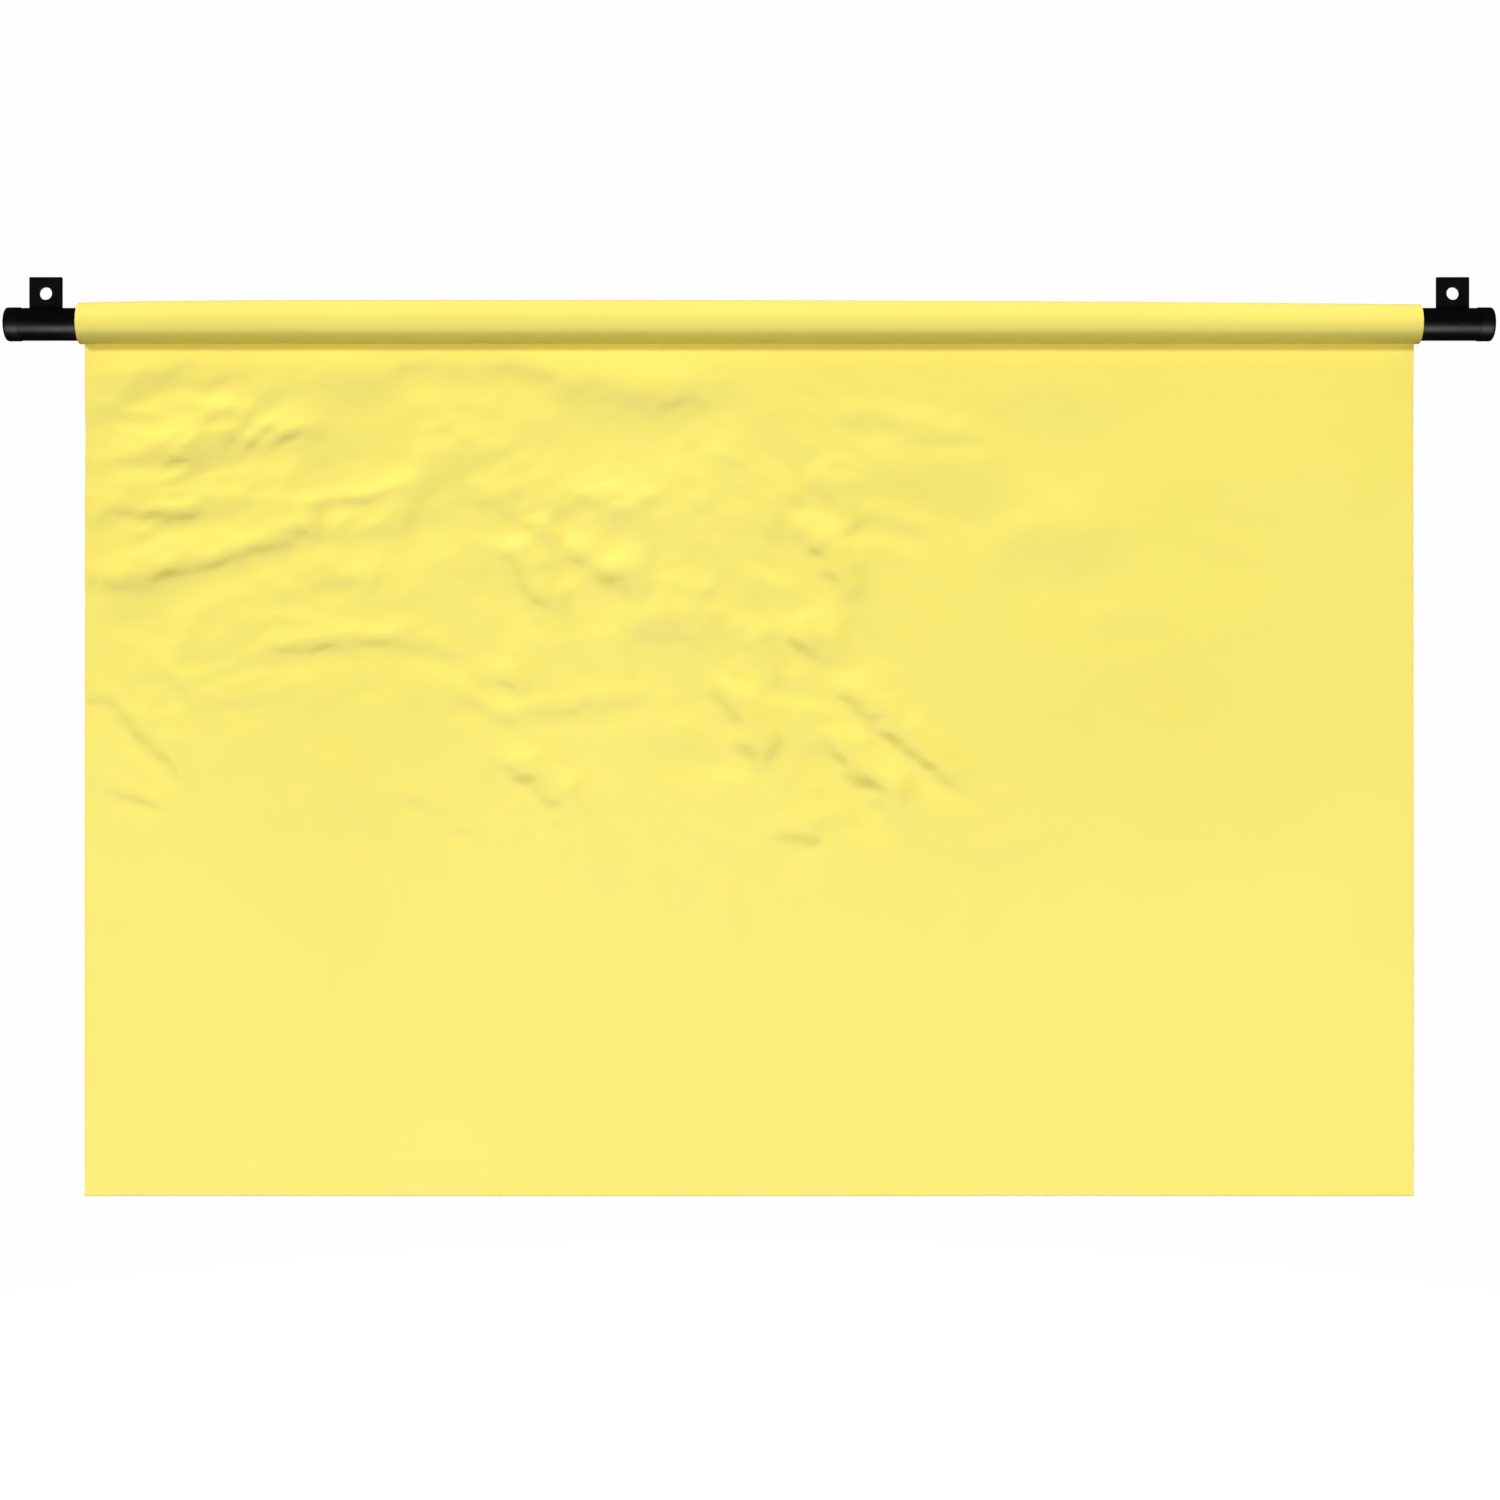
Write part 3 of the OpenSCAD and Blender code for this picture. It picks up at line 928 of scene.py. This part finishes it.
# %% The shape of a hem
side_low, side_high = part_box("left_side_hem")
low_hem_low, low_hem_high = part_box("bottom_hem")
SIDE_HEM = side_high[0] - side_low[0]
BOTTOM_HEM = low_hem_high[2] - low_hem_low[2]
HEM_T = 0.8 * MM
HEM_AIR, RIM_FRONT = 0.05 * MM, 0.12 * MM       # how far a hem stands off the sheet, behind and in front
LIP, LIP_SINK = 2.2 * MM, 0.02 * MM             # how far the rim comes round the front, and into the sheet
HEM_SHARP = 50
HEM_GAP = 0.2 * MM                              # between a side hem's ends and the flap or the bottom hem
hem_back = THICKNESS / 2 + HEM_T + HEM_AIR


def hem_section(width):
    """(inset from the edge, distance behind the sheet's middle) round a folded hem, as a closed outline."""
    front = THICKNESS / 2 + RIM_FRONT
    turn = [math.radians(a) for a in range(-90, 91, 20)]
    middle, radius = (hem_back - front) / 2, (hem_back + front) / 2
    fold = [(FOLD_R - radius * math.cos(a), middle + radius * math.sin(a)) for a in turn]
    lip = (FOLD_R + LIP, -THICKNESS / 2 + LIP_SINK)
    return [lip, *fold, (width, hem_back), (width, THICKNESS / 2)]


def hem_mesh(name, rings):
    """A closed strip from its cross-sections, an array of section x corner x 3."""
    count, sides = rings.shape[:2]
    starts = [i * sides for i in range(count - 1)]
    faces = [(a + k, a + (k + 1) % sides, a + sides + (k + 1) % sides, a + sides + k)
             for a in starts for k in range(sides)]
    faces.append(tuple(range(sides)))
    faces.append(tuple((count - 1) * sides + k for k in reversed(range(sides))))
    shape = bmesh.new()
    verts = [shape.verts.new(p) for p in rings.reshape(-1, 3)]
    for face in faces:
        shape.faces.new([verts[k] for k in face])
    bmesh.ops.recalc_face_normals(shape, faces=shape.faces)
    mesh = bpy.data.meshes.new(name)
    shape.to_mesh(mesh)
    shape.free()
    return mesh


def on_sheet(across_m, drop_m, behind):
    """Points that lie behind the creased sheet's middle, for arrays of places in metres."""
    across_m, drop_m, behind = np.broadcast_arrays(across_m, drop_m, behind)
    height = sheet_height(across_m / MM, drop_m / MM)
    return np.stack([across_m - half_width, sheet_y - height + behind, pole_z - drop_m], -1)


print("a hem's cross-section has", len(hem_section(SIDE_HEM)), "corners")

# %% Fold the hems
hem_top, hem_foot = flap_drop + HEM_GAP, sheet_drop - BOTTOM_HEM - HEM_GAP
drops = spaced(hem_top / MM, FINE_DROP, FINE) + spaced(FINE_DROP, hem_foot / MM, COARSE)
drops = [d * MM for d in drops]
drops = np.array([*drops, hem_foot])
inset, behind = np.array(hem_section(SIDE_HEM)).T
for word, side in SIDES.items():
    across_m = inset if side < 0 else 2 * half_width - inset
    mesh = hem_mesh(f"{word}_hem", on_sheet(across_m[None, :], drops[:, None], behind[None, :]))
    hem = new_piece(f"{word}_hem", mesh, HEM_VINYL, sharp=HEM_SHARP)
    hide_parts(f"{word}_side_hem")
    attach(hem, "panel")
stations = np.array([x * MM for x in spaced(0, width_mm, COARSE)] + [2 * half_width])
inset, behind = np.array(hem_section(BOTTOM_HEM)).T
foot_mesh = hem_mesh("foot_hem", on_sheet(stations[:, None], sheet_drop - inset[None, :], behind[None, :]))
foot_hem = new_piece("foot_hem", foot_mesh, HEM_VINYL, sharp=HEM_SHARP)
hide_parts("bottom_hem")
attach(foot_hem, "panel")
print(f"hems: {SIDE_HEM:.3f} m wide at the sides, {BOTTOM_HEM:.3f} m at the bottom")

# %% [markdown]
# ## Weld marks
# Vinyl is welded with a heated bar that leaves a row of short slanting ribs. There are over a thousand of
# them, so Geometry Nodes places them: one small rib in the middle of each face of a guide strip, lying on
# the cloth.

# %% The rib tree
def rib_tree():
    """Faces to ribs: keep each face's normal, turn faces into points, lay a slanted rib on each."""
    tree, given, result = new_tree("pressed ribs", {
        "Rib length": ("NodeSocketFloat", 9 * MM), "Rib width": ("NodeSocketFloat", 1.3 * MM),
        "Rib height": ("NodeSocketFloat", 0.5 * MM), "Slant": ("NodeSocketFloat", math.radians(35)),
        "Finish": ("NodeSocketMaterial", None)})
    nodes, links = tree.nodes, tree.links
    normal = nodes.new("GeometryNodeInputNormal")
    keep = nodes.new("GeometryNodeCaptureAttribute")
    keep.domain = "FACE"
    keep.capture_items.new("VECTOR", "Up")
    points = nodes.new("GeometryNodeMeshToPoints")
    points.mode = "FACES"
    size = nodes.new("ShaderNodeCombineXYZ")
    rib = nodes.new("GeometryNodeMeshCube")
    align = nodes.new("FunctionNodeAlignRotationToVector")
    align.axis = "Z"
    place = nodes.new("GeometryNodeInstanceOnPoints")
    lean = nodes.new("ShaderNodeCombineXYZ")
    turn = nodes.new("GeometryNodeRotateInstances")
    real = nodes.new("GeometryNodeRealizeInstances")
    paint = nodes.new("GeometryNodeSetMaterial")
    links.new(given.outputs["Geometry"], keep.inputs["Geometry"])
    links.new(normal.outputs["Normal"], keep.inputs["Up"])
    links.new(keep.outputs["Geometry"], points.inputs["Mesh"])
    links.new(given.outputs["Rib width"], size.inputs["X"])
    links.new(given.outputs["Rib length"], size.inputs["Y"])
    links.new(given.outputs["Rib height"], size.inputs["Z"])
    links.new(size.outputs["Vector"], rib.inputs["Size"])
    links.new(keep.outputs["Up"], align.inputs["Vector"])
    links.new(points.outputs["Points"], place.inputs["Points"])
    links.new(rib.outputs["Mesh"], place.inputs["Instance"])
    links.new(align.outputs["Rotation"], place.inputs["Rotation"])
    links.new(given.outputs["Slant"], lean.inputs["Z"])
    links.new(place.outputs["Instances"], turn.inputs["Instances"])
    links.new(lean.outputs["Vector"], turn.inputs["Rotation"])
    links.new(turn.outputs["Instances"], real.inputs["Geometry"])
    links.new(real.outputs["Geometry"], paint.inputs["Geometry"])
    links.new(given.outputs["Finish"], paint.inputs["Material"])
    links.new(paint.outputs["Geometry"], result.inputs["Geometry"])
    return tree


RIB_TREE = rib_tree()
print("rib tree:", len(RIB_TREE.nodes), "nodes")

# %% Lay guides along the welds
RIB_PITCH = 5.0                             # these and the next ones in mm
GUIDE_HALF, SIDE_GUIDE_HALF = 9.0, 6        # half the width of a guide
FLAP_WELD_UP, FOOT_WELD_UP = 14, 26         # a weld's height above the edge of flap and sheet
SIDE_WELD_IN = 16                           # a side weld's distance from the sheet's edge
FLAP_ENDS, FOOT_ENDS = 20, 30               # what is left free at both ends of a weld
SIDE_TOP, SIDE_FOOT = 8, 4
flap_back = LAYER + THICKNESS / 2


def rib_guide(name, strips):
    """Quads on the back of the cloth, one for each rib, from strips of (across, drop, behind) pairs."""
    points, faces = [], []
    for strip in strips:
        base = len(points)
        across_mm, down_mm, behind = np.array(strip).reshape(-1, 3).T
        points += on_sheet(across_mm * MM, down_mm * MM, behind).tolist()
        faces += [(base + 2 * k, base + 2 * k + 1, base + 2 * k + 3, base + 2 * k + 2)
                  for k in range(len(strip) - 1)]
    mesh = bpy.data.meshes.new(name)
    mesh.from_pydata(points, [], faces)
    return mesh


def weld_across(level, behind, ends):
    """A guide strip from side to side at one level."""
    return [((a, level + GUIDE_HALF, behind), (a, level - GUIDE_HALF, behind))
            for a in spaced(ends, width_mm - ends, RIB_PITCH)]


def weld_down(edge):
    """A guide strip down one side hem."""
    return [((edge - SIDE_GUIDE_HALF, d, hem_back), (edge + SIDE_GUIDE_HALF, d, hem_back))
            for d in spaced(flap_drop / MM + SIDE_TOP, hem_foot / MM - SIDE_FOOT, RIB_PITCH)]


strips = [weld_across(flap_drop / MM - FLAP_WELD_UP, flap_back, FLAP_ENDS),
          weld_across(drop_mm - FOOT_WELD_UP, hem_back, FOOT_ENDS),
          weld_down(SIDE_WELD_IN), weld_down(width_mm - SIDE_WELD_IN)]
print("guide strips:", len(strips))

# %% Press the ribs into hems and flap
ribs = grown("weld_ribs", rib_guide("weld_ribs_guide", strips), RIB_TREE, {"Finish": HEM_VINYL}, HEM_VINYL)
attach(ribs, "panel")
print("ribs:", len(ribs.data.polygons) // 6)
